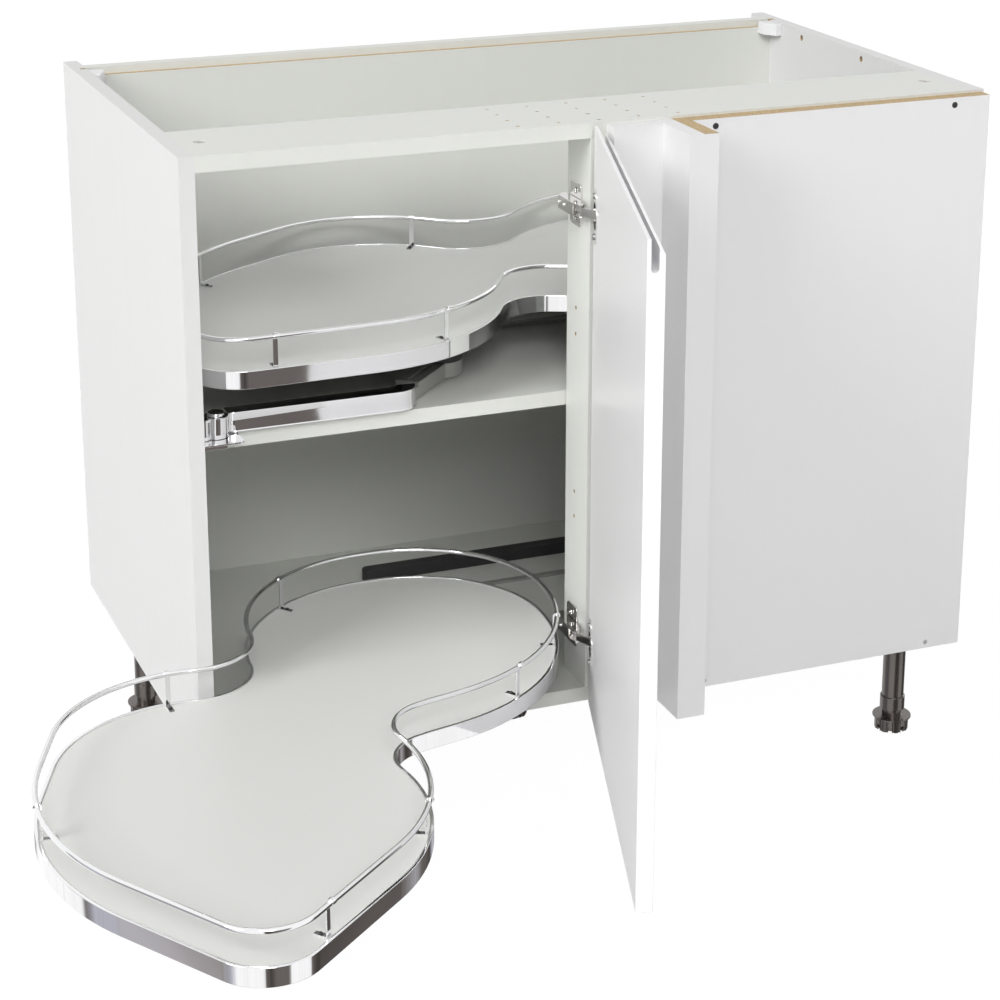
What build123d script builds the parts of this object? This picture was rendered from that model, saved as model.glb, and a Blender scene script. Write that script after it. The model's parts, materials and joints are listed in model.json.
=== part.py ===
from build123d import *
import os
from math import cos, radians, sin

os.makedirs("parts", exist_ok=True)

# A blind corner base cabinet, 1000 wide, with a hinged door and two swing-out trays.
# Millimetres. The origin is on the floor under the middle of the carcass, +X to the
# right, +Y to the back, +Z up. The part stands as it is shown: door open, upper tray
# stowed, lower tray swung out.

# Carcass
cabinet_width = 1000
cabinet_depth = 580
carcass_height = 720
leg_height = 150
board = 18
back_board = 8
back_rail_recess = 32
back_rail_height = 100
back_top_drop = 9
groove_depth = 8
groove_clearance = 0.2
top_rail_depth = 130
shelf_height = 361
shelf_setback = 66
stile_place = 481.5
stile_width = 32.5
stile_depth = 65

# Fronts
front_top_gap = 3
door_width = 497
door_thickness = 18
door_side_gap = 1.5
door_face_gap = 1.5
door_axis_inset = 4.5
door_axis_depth = 14
door_open_angle = 72.1
pull_inner_lip = 4.1
pull_groove_width = 8.2
pull_groove_depth = 33.4
pull_lip_drop = 9.4
pull_lip_slope = 5.3
filler_gap = 3.5
filler_width = 62
filler_thickness = 18.8
filler_return_depth = 89
blind_thickness = 19
blind_side_gap = 3.5

# Fixings of the carcass
dowel_diameter = 8
dowel_depth = 10
dowel_top_drop = 10
dowel_places = (267, 430)
row_hole_diameter = 5
row_hole_depth = 11
row_pitch_across = 50
row_pitch_deep = 32.3
row_first_inset = 14.2
cam_diameter = 15
cam_depth = 12
cam_inset = 24
cam_from_front = 68
cam_height = 11.5
cam_cross = 6
stile_screw_head = 7
stile_screw_depth = 2
stile_screw_height = 1.7
cap_diameter = 7.5
cap_depth = 2.5
cap_edge_inset = 30
cap_top_inset = 9
cap_proud = 0.6
cap_round = 0.5
blind_screw_head = 6.5
blind_screw_depth = 1.5
blind_screw_length = 1.4
cross_width = 1.2
cross_share = 0.6
cross_depth = 1
blind_screw_inset = 34
blind_screw_height = 8
block_width = 19
block_length = 33.5
block_height = 16
block_top_drop = 1
block_cut_share = 0.45
block_chamfer = 1
plate_hole_pitch = 32
plate_hole_from_front = 38.5
stile_hole_heights = [227.4, 457.9]

# Legs
leg_side_inset = 45
leg_front_inset = 65
leg_back_inset = 112
tube_diameter = 28.7
tube_wall = 3
socket_diameter = 60
socket_flange = 4
socket_height = 24
socket_wall = 3
collar_diameter = 32.3
collar_low = 29
collar_high = 46.5
neck_diameter = 25.5
flange_diameter = 50.5
flange_low = 17
flange_thickness = 1.8
crown_diameter = 44
crown_slots = 8
crown_slot_width = 5
crown_slot_depth = 8
crown_slot_reach = 6
crown_flutes = 16
flute_diameter = 3
stem_length = 30
stem_room = 10
thread_clearance = 0.3

# Door hinges
hinge_end_inset_top = 100
hinge_end_inset_bottom = 87
hinge_plate_length = 52
hinge_plate_width = 36
hinge_plate_thickness = 2.5
hinge_plate_from_front = 19
hinge_wing_width = 18
hinge_rib_height = 6
hinge_rib_width = 12
hinge_arm_width = 16
hinge_arm_thickness = 10
hinge_arm_back = 62
hinge_arm_front = -1
arm_fork = 14
arm_slope = 7
arm_skirt_gap = 0.7
arm_end_gap = 2
arm_rib_gap = 0.1
hinge_link_thickness = 3
hinge_link_width = 10
hinge_pin_diameter = 4.2
hinge_pin_play = 0.8
link_gap = 0.5
link_points = [(2, -6.5), (9, 1.5), (24.5, 14)]
cup_diameter = 35
cup_depth = 11
cup_wall = 1.6
cup_edge_inset = 22.5
cup_bore_clearance = 0.2
cup_flange_length = 65
cup_flange_width = 24
cup_flange_thickness = 1.2
cup_screw_pitch = 48
plate_hole_diameter = 5.2
plate_screw_head = 8
plate_screw_thickness = 2
screw_taper = 20

# Tray units. A tray fills the compartment but for the gaps named here. Its outline runs
# round ten corners, each placed and rounded as a share of the tray's length and width.
pivot_side = 46
pivot_front = 55
arm_reach_across = 318
arm_reach_back = 125.7
arm_out_turn = -105.4
tray_out_turn = 38.0
lower_tray_rise = 78
upper_tray_rise = 85
tray_side_gap = 5.9
tray_end_gap = 69.4
tray_back_gap = 2.9
tray_front_setback = 22.6
tray_aspect = 1.79
corner_shares = [
    (0.7506, 1.1493),
    (1.0809, 0.6780),
    (0.7973, 0.0929),
    (0.5593, 0.3024),
    (0.4896, 0.3547),
    (0.3872, 0.0154),
    (-0.0078, -0.0037),
    (0.0333, 0.6981),
    (0.3776, 1.0546),
    (0.5481, 0.7445),
]
radius_shares = [0.4028, 0.3303, 0.5236, 0.3706, 0.1148, 0.4753, 0.1229, 0.5921, 0.3484, 0.145]
band_height = 21
band_thickness = 4
tray_board_thickness = 10
tray_board_clearance = 0.2
tray_board_drop = 1.5
rail_wire = 6
rail_height = 36.5
rail_bracket_width = 6
rail_bracket_thickness = 1.5
rail_bracket_foot = 16
rail_hook_clearance = 0.05
rail_screw_head = 4.4
rail_screw_height = 1.6
bracket_stations = [0.073, 0.286, 0.349, 0.51, 0.602, 0.788, 0.937]

# Swing arm of a tray unit, heights from the panel that the unit stands on
post_diameter = 12
post_cap_diameter = 20
post_cap_height = 4
post_cap_round = 1.5
sleeve_diameter = 28
sleeve_clearance = 0.3
base_plate_thickness = 2
base_plate_width = 52
base_plate_front = 26
base_plate_back = 128
base_plate_round = 6
base_tab_width = 31
base_screw_place = 116
base_screw_pitch = 28
base_screw_head = 8
base_screw_height = 1.6
arm_low = 2.6
arm_high = 27
cover_length = 251
cover_front = 2
cover_back = 40
cover_step = 19
cover_ledge = 3
cover_edge = 26
cover_high = 26
cover_corner = 30
cover_wall = 1.6
beam_width = 30
beam_high = 21
beam_start = (229, 34)
beam_ramp = 28
leg_taper = 8
beam_groove_width = 6
beam_groove_depth = 2
beam_groove_margin = 5
beam_cover_clearance = 0.3
beam_front_high = 16
knuckle_diameter = 9
knuckle_place = (-16, -10)
knuckle_web = 3.4
hub_diameter = 52
hub_pin_diameter = 16
hub_gap = 0.5
hub_plate_length = 140
hub_plate_width = 90
hub_plate_shift = (-28, 16)
hub_plate_thickness = 3
hub_plate_round = 12
hub_ribs = 4
hub_rib_length = 26
hub_rib_width = 4
hub_rib_height = 10
latch_share = (0.0474, 0.1251)
latch_height = 14
latch_thickness = 2
latch_foot_width = 24
latch_foot_length = 62
latch_tip_front = -2
latch_tip_back = 12

# Rails on the panel behind the arm
rear_rail_side_gap = 317
rear_rail_end_gap = 77
rear_rail_back_gap = 97
rear_rail_width = 20
rear_rail_height = 16
floor_bar_back_gap = 179
floor_bar_width = 8
floor_bar_height = 4

# Places worked out from the sizes above
left = -cabinet_width / 2
right = cabinet_width / 2
front = -cabinet_depth / 2
back = cabinet_depth / 2
bottom = leg_height
top = bottom + carcass_height
inner_left = left + board
inner_right = right - board
back_rail_back = back - back_rail_recess
back_panel_back = back_rail_back - board
back_panel_front = back_panel_back - back_board
shelf_bottom = bottom + shelf_height
shelf_top = shelf_bottom + board
stile_left = left + stile_place
stile_middle = stile_left + stile_width / 2
front_height = carcass_height - front_top_gap
front_top = bottom + front_height
filler_left = left + door_side_gap + door_width + filler_gap
filler_right = filler_left + filler_width
return_right = filler_right + board
corner_right = return_right + board
blind_right = right - blind_side_gap
door_axis = (left + door_side_gap + door_width - door_axis_inset, front - door_axis_depth)


def save(piece, name):
    """Label a finished piece and write its file."""
    piece.part.label = name
    export_step(piece.part, "parts/" + name + ".step")


def turned_plane(origin, angle):
    """A level plane turned about the vertical."""
    direction = (cos(radians(angle)), sin(radians(angle)), 0)
    return Plane(origin=origin, x_dir=direction, z_dir=(0, 0, 1))


def panel(x_low, x_high, y_low, y_high, z_low, z_high):
    """A plain board between its low and high faces."""
    with BuildPart() as piece:
        with BuildSketch(Plane.XY.offset(z_low)):
            with Locations(((x_low + x_high) / 2, (y_low + y_high) / 2)):
                Rectangle(x_high - x_low, y_high - y_low)
        extrude(amount=z_high - z_low)
    return piece


def side_panel(side):
    """A side: a groove for the back panel and two blind dowel holes near the top."""
    middle = side * (right - board / 2)
    inner_face = side * (right - board)
    groove_middle = inner_face + side * groove_depth / 2
    with BuildPart() as piece:
        with BuildSketch(Plane.XY.offset(bottom)):
            with Locations((middle, 0)):
                Rectangle(board, cabinet_depth)
            with Locations((groove_middle, back_panel_front + back_board / 2)):
                Rectangle(groove_depth, back_board + 2 * groove_clearance, mode=Mode.SUBTRACT)
        extrude(amount=carcass_height)
        for place in dowel_places:
            centre = (inner_face, front + place, top - dowel_top_drop)
            with Locations(Plane(origin=centre, z_dir=(-side, 0, 0))):
                Hole(dowel_diameter / 2, depth=dowel_depth)
    return piece


side_panel_left = side_panel(-1)
save(side_panel_left, "side_panel_left")
side_panel_right = side_panel(1)
save(side_panel_right, "side_panel_right")

# Bottom panel, grooved for the foot of the back panel
with BuildPart() as bottom_panel:
    with BuildSketch(Plane.XY.offset(bottom)):
        with Locations((0, (front + back_rail_back) / 2)):
            Rectangle(inner_right - inner_left, back_rail_back - front)
    extrude(amount=board)
    with BuildSketch(Plane.XY.offset(bottom + board)):
        with Locations((0, back_panel_front + back_board / 2)):
            Rectangle(inner_right - inner_left, back_board + 2 * groove_clearance)
    extrude(amount=-groove_depth, mode=Mode.SUBTRACT)
save(bottom_panel, "bottom_panel")

# Back panel in its grooves, and the rail that stiffens it
back_panel = panel(
    inner_left - groove_depth + groove_clearance,
    inner_right + groove_depth - groove_clearance,
    back_panel_front,
    back_panel_back,
    bottom + board - groove_depth + groove_clearance,
    top - back_top_drop,
)
save(back_panel, "back_panel")
back_rail = panel(inner_left, inner_right, back_panel_back, back_rail_back, top - back_rail_height, top)
save(back_rail, "back_rail")

# Fixed middle shelf, set back behind the hinge stile
mid_shelf = panel(
    inner_left, inner_right, front + shelf_setback, back_panel_front, shelf_bottom, shelf_top
)
save(mid_shelf, "mid_shelf")

# Top front rail with its rows of drilled holes and two cam bores
row_count = 4
row_middle = front + row_first_inset + (row_count - 1) / 2 * row_pitch_deep
screw_places = [(stile_middle, front + row_first_inset + row_pitch_deep * n) for n in range(2)]
cam_places = [(side * (inner_right - cam_inset), front + cam_from_front) for side in (-1, 1)]
with BuildPart() as top_front_rail:
    with BuildSketch(Plane.XY.offset(top - board)):
        with Locations((0, front + top_rail_depth / 2)):
            Rectangle(inner_right - inner_left, top_rail_depth)
    extrude(amount=board)
    with Locations(Plane.XY.offset(top)):
        for side in (-1.5, 1.5):
            with Locations((stile_middle + side * row_pitch_across, row_middle)):
                with GridLocations(row_pitch_across, row_pitch_deep, 2, row_count):
                    Hole(row_hole_diameter / 2, depth=row_hole_depth)
        with Locations((stile_middle, row_middle + row_pitch_deep)):
            with GridLocations(row_pitch_across, row_pitch_deep, 1, row_count - 2):
                Hole(row_hole_diameter / 2, depth=row_hole_depth)
        with Locations(*screw_places):
            Hole(stile_screw_head / 2, depth=stile_screw_depth)
        with Locations(*cam_places):
            Hole(cam_diameter / 2, depth=cam_depth)
save(top_front_rail, "top_front_rail")



def cross_heads(face, places, length, head, cross):
    """Round heads laid on a face, each with a cross recess."""
    with BuildPart() as piece:
        with BuildSketch(face):
            with Locations(*places):
                Circle(head / 2)
        extrude(amount=length)
        with BuildSketch(face.offset(length)):
            with Locations(*places):
                Rectangle(cross, cross_width)
                Rectangle(cross_width, cross)
        extrude(amount=-cross_depth, mode=Mode.SUBTRACT)
    return piece


cam_floor = Plane.XY.offset(top - cam_depth)
save(cross_heads(cam_floor, cam_places, cam_height, cam_diameter, cam_cross), "rail_cam_fittings")

screw_floor = Plane.XY.offset(top - stile_screw_depth)
screw_cross = stile_screw_head * cross_share
save(
    cross_heads(screw_floor, screw_places, stile_screw_height, stile_screw_head, screw_cross),
    "stile_screws",
)

# Hinge stile between bottom and top rail, with pairs of plate holes on its left face
with BuildPart() as hinge_stile:
    with BuildSketch(Plane.XY.offset(bottom + board)):
        with Locations((stile_middle, front + stile_depth / 2)):
            Rectangle(stile_width, stile_depth)
    extrude(amount=carcass_height - 2 * board)
    for height in stile_hole_heights:
        for step in (0, plate_hole_pitch):
            centre = (stile_left, front + plate_hole_from_front, bottom + height + step)
            with Locations(Plane(origin=centre, z_dir=(-1, 0, 0))):
                Hole(row_hole_diameter / 2, depth=row_hole_depth)
save(hinge_stile, "hinge_stile")

# White plastic blocks that hold the back panel in both corners
with BuildPart() as back_panel_blocks:
    for side in (-1, 1):
        wall = side * (right - board)
        with BuildSketch(Plane.XY.offset(top - block_top_drop - block_height)):
            with BuildLine():
                Polyline(
                    (wall, back_panel_front),
                    (wall - side * block_width, back_panel_front),
                    (wall - side * block_width, back_panel_front - block_length * block_cut_share),
                    (wall - side * block_width * block_cut_share, back_panel_front - block_length),
                    (wall, back_panel_front - block_length),
                    close=True,
                )
            make_face()
        extrude(amount=block_height)
    chamfer(back_panel_blocks.faces().group_by(Axis.Z)[-1].edges(), block_chamfer)
save(back_panel_blocks, "back_panel_blocks")

# Fixed fronts of the corner: filler face, its return, the return board and blind panel
return_front = front - filler_return_depth
corner_filler_face = panel(
    filler_left, filler_right, front - filler_thickness, front, bottom, front_top
)
save(corner_filler_face, "corner_filler_face")
corner_filler_return = panel(filler_right, return_right, return_front, front, bottom, front_top)
save(corner_filler_return, "corner_filler_return")
blind_return_board = panel(return_right, corner_right, return_front, front, bottom, front_top)
save(blind_return_board, "blind_return_board")

cap_places = [
    (corner_right + cap_edge_inset, front_top - cap_top_inset),
    (right - cap_edge_inset - board - cap_diameter / 2, front_top - cap_top_inset),
]
blind_screw_places = [
    (corner_right + blind_screw_inset, bottom + blind_screw_height),
    (right - blind_screw_inset - board, bottom + blind_screw_height),
]
blind_face = Plane(origin=(0, front - blind_thickness, 0), x_dir=(1, 0, 0), z_dir=(0, -1, 0))
with BuildPart() as blind_panel:
    with BuildSketch(Plane.XY.offset(bottom)):
        with Locations(((corner_right + blind_right) / 2, front - blind_thickness / 2)):
            Rectangle(blind_right - corner_right, blind_thickness)
    extrude(amount=front_height)
    with Locations(blind_face):
        with Locations(*cap_places):
            Hole(cap_diameter / 2, depth=cap_depth)
        with Locations(*blind_screw_places):
            Hole(blind_screw_head / 2, depth=blind_screw_depth)
save(blind_panel, "blind_panel")

with BuildPart() as blind_panel_caps:
    with BuildSketch(blind_face.offset(-cap_depth)):
        with Locations(*cap_places):
            Circle(cap_diameter / 2)
    extrude(amount=cap_depth + cap_proud)
    fillet(blind_panel_caps.edges().filter_by(GeomType.CIRCLE).group_by(Axis.Y)[0], cap_round)
save(blind_panel_caps, "blind_panel_caps")

screw_floor = blind_face.offset(-blind_screw_depth)
screw_cross = blind_screw_head * cross_share
save(
    cross_heads(
        screw_floor, blind_screw_places, blind_screw_length, blind_screw_head, screw_cross
    ),
    "blind_panel_screws",
)

# Legs: a socket under the bottom panel, a tube with a collar, and a foot that turns
leg_places = {
    "front_left": (left + leg_side_inset, front + leg_front_inset),
    "front_right": (right - leg_side_inset, front + leg_front_inset),
    "back_left": (left + leg_side_inset, back - leg_back_inset),
    "back_right": (right - leg_side_inset, back - leg_back_inset),
    "centre": (0, 0),
}
leg_points = list(leg_places.values())
socket_bore = tube_diameter / 2 + groove_clearance
with BuildPart() as leg_sockets:
    with BuildSketch(Plane.XY.offset(bottom)):
        with Locations(*leg_points):
            Circle(socket_diameter / 2)
    extrude(amount=-socket_flange)
    with BuildSketch(Plane.XY.offset(bottom - socket_height)):
        with Locations(*leg_points):
            Circle(socket_bore + socket_wall)
    extrude(amount=socket_height - socket_flange)
    with BuildSketch(Plane.XY.offset(bottom - socket_height)):
        with Locations(*leg_points):
            Circle(socket_bore)
    extrude(amount=socket_height - socket_flange, mode=Mode.SUBTRACT)
save(leg_sockets, "leg_sockets")

tube_bore = tube_diameter / 2 - tube_wall
with BuildPart() as leg_tubes:
    with BuildSketch(Plane.XY.offset(collar_high)):
        with Locations(*leg_points):
            Circle(tube_diameter / 2)
    extrude(amount=bottom - socket_flange - collar_high)
    with BuildSketch(Plane.XY.offset(collar_low)):
        with Locations(*leg_points):
            Circle(collar_diameter / 2)
    extrude(amount=collar_high - collar_low)
    with BuildSketch(Plane.XY.offset(collar_low)):
        with Locations(*leg_points):
            Circle(tube_bore)
    extrude(amount=stem_length + stem_room, mode=Mode.SUBTRACT)
save(leg_tubes, "leg_tubes")


def foot(place):
    """A screw foot: castellated crown, broad flange, neck and threaded stem."""
    x, y = place
    flange_high = flange_low + flange_thickness
    neck_top = collar_low - thread_clearance
    slot_turn = 180 / crown_flutes
    with BuildPart() as piece:
        with BuildSketch(Plane(origin=(x, y, 0))):
            Circle(crown_diameter / 2)
            with PolarLocations(crown_diameter / 2, crown_flutes):
                Circle(flute_diameter / 2, mode=Mode.SUBTRACT)
        extrude(amount=flange_low)
        with BuildSketch(Plane(origin=(x, y, 0))):
            with PolarLocations(crown_diameter / 2, crown_slots, start_angle=slot_turn):
                Rectangle(2 * crown_slot_reach, crown_slot_width)
        extrude(amount=crown_slot_depth, mode=Mode.SUBTRACT)
        with BuildSketch(Plane(origin=(x, y, flange_low))):
            Circle(flange_diameter / 2)
        extrude(amount=flange_thickness)
        with BuildSketch(Plane(origin=(x, y, flange_high))):
            Circle(neck_diameter / 2)
        extrude(amount=neck_top - flange_high)
        with BuildSketch(Plane(origin=(x, y, neck_top))):
            Circle(tube_bore - thread_clearance)
        extrude(amount=stem_length)
    return piece


for corner, place in leg_places.items():
    save(foot(place), "foot_" + corner)

# Door, built about its hinge axis and turned open
door_frame = turned_plane((door_axis[0], door_axis[1], bottom), door_open_angle)
door_inner = door_axis_depth - door_face_gap
door_outer = door_inner - door_thickness
door_hinge_edge = door_axis_inset
door_free_edge = door_hinge_edge - door_width
door_side = Plane(
    origin=door_frame.from_local_coords((door_free_edge, 0, 0)),
    x_dir=door_frame.y_dir,
    z_dir=door_frame.x_dir,
)
groove_inner = door_inner - pull_inner_lip
groove_outer = groove_inner - pull_groove_width
groove_radius = pull_groove_width / 2
groove_bottom = front_height - pull_groove_depth + groove_radius
hinge_heights = {"bottom": hinge_end_inset_bottom, "top": front_height - hinge_end_inset_top}
cup_place = door_hinge_edge - cup_edge_inset
with BuildPart() as door_panel:
    with BuildSketch(door_side):
        with BuildLine():
            Polyline(
                (groove_inner, groove_bottom),
                (groove_inner, front_height),
                (door_inner, front_height),
                (door_inner, 0),
                (door_outer, 0),
                (door_outer, front_height - pull_lip_drop - pull_lip_slope),
                (groove_outer, front_height - pull_lip_drop),
                (groove_outer, groove_bottom),
            )
            ThreePointArc(
                (groove_outer, groove_bottom),
                ((groove_outer + groove_inner) / 2, groove_bottom - groove_radius),
                (groove_inner, groove_bottom),
            )
        make_face()
    extrude(amount=door_width)
    for height in hinge_heights.values():
        centre = door_frame.from_local_coords((cup_place, door_inner, height))
        with Locations(Plane(origin=centre, x_dir=door_frame.x_dir, z_dir=door_frame.y_dir)):
            Hole(cup_diameter / 2 + cup_bore_clearance, depth=cup_depth + cup_bore_clearance)
save(door_panel, "door_panel")


def hinge_plate(height):
    """A winged plate screwed to the stile, with a raised rib for the arm."""
    face = Plane(origin=(stile_left, front, bottom + height), x_dir=(0, 1, 0), z_dir=(-1, 0, 0))
    middle = hinge_plate_from_front + hinge_plate_width / 2
    with BuildPart() as piece:
        with BuildSketch(face):
            with Locations((middle, 0)):
                Rectangle(hinge_plate_width, hinge_arm_width)
                SlotOverall(hinge_plate_length, hinge_wing_width, rotation=90)
        extrude(amount=hinge_plate_thickness)
        with BuildSketch(face.offset(hinge_plate_thickness)):
            with Locations((middle, 0)):
                Rectangle(hinge_plate_width, hinge_rib_width)
        extrude(amount=hinge_rib_height)
        with Locations(face.offset(hinge_plate_thickness)):
            with Locations((middle, plate_hole_pitch / 2), (middle, -plate_hole_pitch / 2)):
                Hole(plate_hole_diameter / 2, depth=hinge_plate_thickness)
    return piece


def hinge_arm(height):
    """The clip-on arm: a channel over the plate's rib, forked towards the door."""
    low = height - hinge_arm_width / 2
    face = Plane(origin=(stile_left, front, bottom + height), x_dir=(0, 1, 0), z_dir=(-1, 0, 0))
    side = Plane(origin=(stile_left, front, bottom + low), x_dir=(0, 1, 0), z_dir=(0, 0, 1))
    rib_top = hinge_plate_thickness + hinge_rib_height
    crown = rib_top + hinge_arm_thickness - 2
    skirt = hinge_plate_thickness + arm_skirt_gap
    channel_front = hinge_plate_from_front - arm_end_gap
    with BuildPart() as piece:
        with BuildSketch(side):
            with BuildLine():
                Polyline(
                    (hinge_arm_front, rib_top - 1),
                    (hinge_arm_front + arm_fork, skirt),
                    (hinge_arm_back, skirt),
                    (hinge_arm_back, rib_top + 2),
                    (hinge_arm_back - arm_slope, crown),
                    (hinge_arm_front + arm_slope, crown),
                    (hinge_arm_front, crown - 3),
                    close=True,
                )
            make_face()
        extrude(amount=hinge_arm_width)
        with BuildSketch(face):
            with Locations(((channel_front + hinge_arm_back) / 2, 0)):
                Rectangle(hinge_arm_back - channel_front, hinge_rib_width + 2 * arm_rib_gap)
        extrude(amount=rib_top + arm_rib_gap, mode=Mode.SUBTRACT)
        with BuildSketch(face):
            with Locations((hinge_arm_front + arm_fork / 2, 0)):
                Rectangle(arm_fork, hinge_link_width + 2 * link_gap)
        extrude(amount=crown, mode=Mode.SUBTRACT)
    return piece


def door_plane(height):
    """The door's inner face at a hinge, with X along the door and Y up."""
    origin = door_frame.from_local_coords((cup_place, door_inner, height))
    return Plane(origin=origin, x_dir=-door_frame.x_dir, z_dir=door_frame.y_dir)


def hinge_cup(height):
    """A pressed cup sunk in the door, with a flange that two screws hold."""
    face = door_plane(height)
    with BuildPart() as piece:
        with BuildSketch(face):
            SlotOverall(cup_flange_length, cup_flange_width, rotation=90)
            Circle(cup_diameter / 2)
        extrude(amount=cup_flange_thickness)
        with BuildSketch(face):
            Circle(cup_diameter / 2)
        extrude(amount=-cup_depth)
        with BuildSketch(face.offset(cup_flange_thickness)):
            Circle(cup_diameter / 2 - cup_wall)
        extrude(amount=-cup_depth - cup_flange_thickness + cup_wall, mode=Mode.SUBTRACT)
    return piece


def hinge_link(height):
    """The folding link between the arm and the cup, on a pin across the cup."""
    rise = hinge_link_width / 2
    origin = door_frame.from_local_coords((cup_place, door_inner, height - rise))
    level = Plane(origin=origin, x_dir=door_frame.x_dir, z_dir=(0, 0, 1))
    with BuildPart() as piece:
        with BuildSketch(level):
            with BuildLine():
                Polyline(*link_points)
            trace(line_width=hinge_link_thickness)
        extrude(amount=hinge_link_width)
        pin_length = 2 * (cup_diameter / 2 - cup_wall) - hinge_pin_play
        with BuildSketch(level.offset(rise - pin_length / 2)):
            with Locations(link_points[0]):
                Circle(hinge_pin_diameter / 2)
        extrude(amount=pin_length)
    return piece


for end, height in hinge_heights.items():
    save(hinge_plate(height), "hinge_plate_" + end)
    save(hinge_arm(height), "hinge_arm_" + end)
    save(hinge_cup(height), "hinge_cup_" + end)
    save(hinge_link(height), "hinge_link_" + end)

plate_middle = hinge_plate_from_front + hinge_plate_width / 2
plate_face_x = stile_left - hinge_plate_thickness
with BuildPart() as hinge_plate_screws:
    for height in hinge_heights.values():
        centre = (plate_face_x, front, bottom + height)
        with BuildSketch(Plane(origin=centre, x_dir=(0, 1, 0), z_dir=(-1, 0, 0))):
            with Locations((plate_middle, 0)):
                with GridLocations(1, plate_hole_pitch, 1, 2):
                    Circle(plate_screw_head / 2)
        extrude(amount=plate_screw_thickness, taper=screw_taper)
save(hinge_plate_screws, "hinge_plate_screws")

with BuildPart() as hinge_cup_screws:
    for height in hinge_heights.values():
        with BuildSketch(door_plane(height).offset(cup_flange_thickness)):
            with GridLocations(1, cup_screw_pitch, 1, 2):
                Circle(plate_screw_head / 2)
        extrude(amount=plate_screw_thickness, taper=screw_taper)
save(hinge_cup_screws, "hinge_cup_screws")

# Tray units
pivot = (left + pivot_side, front + pivot_front)
arm_reach = (arm_reach_across, arm_reach_back)
tray_left = inner_left + tray_side_gap
tray_front = front + tray_front_setback
tray_length = inner_right - tray_end_gap - tray_left
tray_width = back_panel_front - tray_back_gap - tray_front
radius_unit = min(tray_width, tray_length / tray_aspect)
units = {
    "upper": (shelf_top, upper_tray_rise, 0, 0, True),
    "lower": (bottom + board, lower_tray_rise, arm_out_turn, tray_out_turn, False),
}


def from_pivot(share):
    """A share of the stowed tray's length and width, as a place from the tray's pivot."""
    x = tray_left + share[0] * tray_length - pivot[0] - arm_reach_across
    y = tray_front + share[1] * tray_width - pivot[1] - arm_reach_back
    return (x, y)


def tray_sketch(plane, inset=0):
    """The kidney outline of a tray, drawn in by an inset."""
    corners = [from_pivot(share) for share in corner_shares]
    radii = [share * radius_unit for share in radius_shares]
    with BuildSketch(plane) as sketch:
        with BuildLine():
            FilletPolyline(*corners, radius=radii, close=True)
        make_face()
        if inset:
            offset(amount=-inset)
    return sketch


def mounting_bracket(panel_top, wraps_edge):
    """The fixed foot of a unit: a screwed plate with the post that the arm turns on."""
    base = Plane(origin=(left, front, panel_top))
    plate_middle_y = (base_plate_front + base_plate_back) / 2
    with BuildPart() as piece:
        with BuildSketch(base):
            with Locations((pivot_side, plate_middle_y)):
                RectangleRounded(base_plate_width, base_plate_back - base_plate_front, base_plate_round)
        extrude(amount=base_plate_thickness)
        with BuildSketch(base.offset(base_plate_thickness)):
            with Locations((pivot_side, pivot_front)):
                Circle(post_diameter / 2)
        extrude(amount=arm_high - base_plate_thickness + hub_gap)
        with BuildSketch(base.offset(arm_high + hub_gap)):
            with Locations((pivot_side, pivot_front)):
                Circle(post_cap_diameter / 2)
        extrude(amount=post_cap_height)
        fillet(piece.edges().group_by(Axis.Z)[-1], post_cap_round)
        if wraps_edge:
            with BuildSketch(base):
                with Locations((pivot_side, shelf_setback - base_plate_thickness / 2)):
                    Rectangle(base_tab_width, base_plate_thickness)
            extrude(amount=-board)
    return piece


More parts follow.
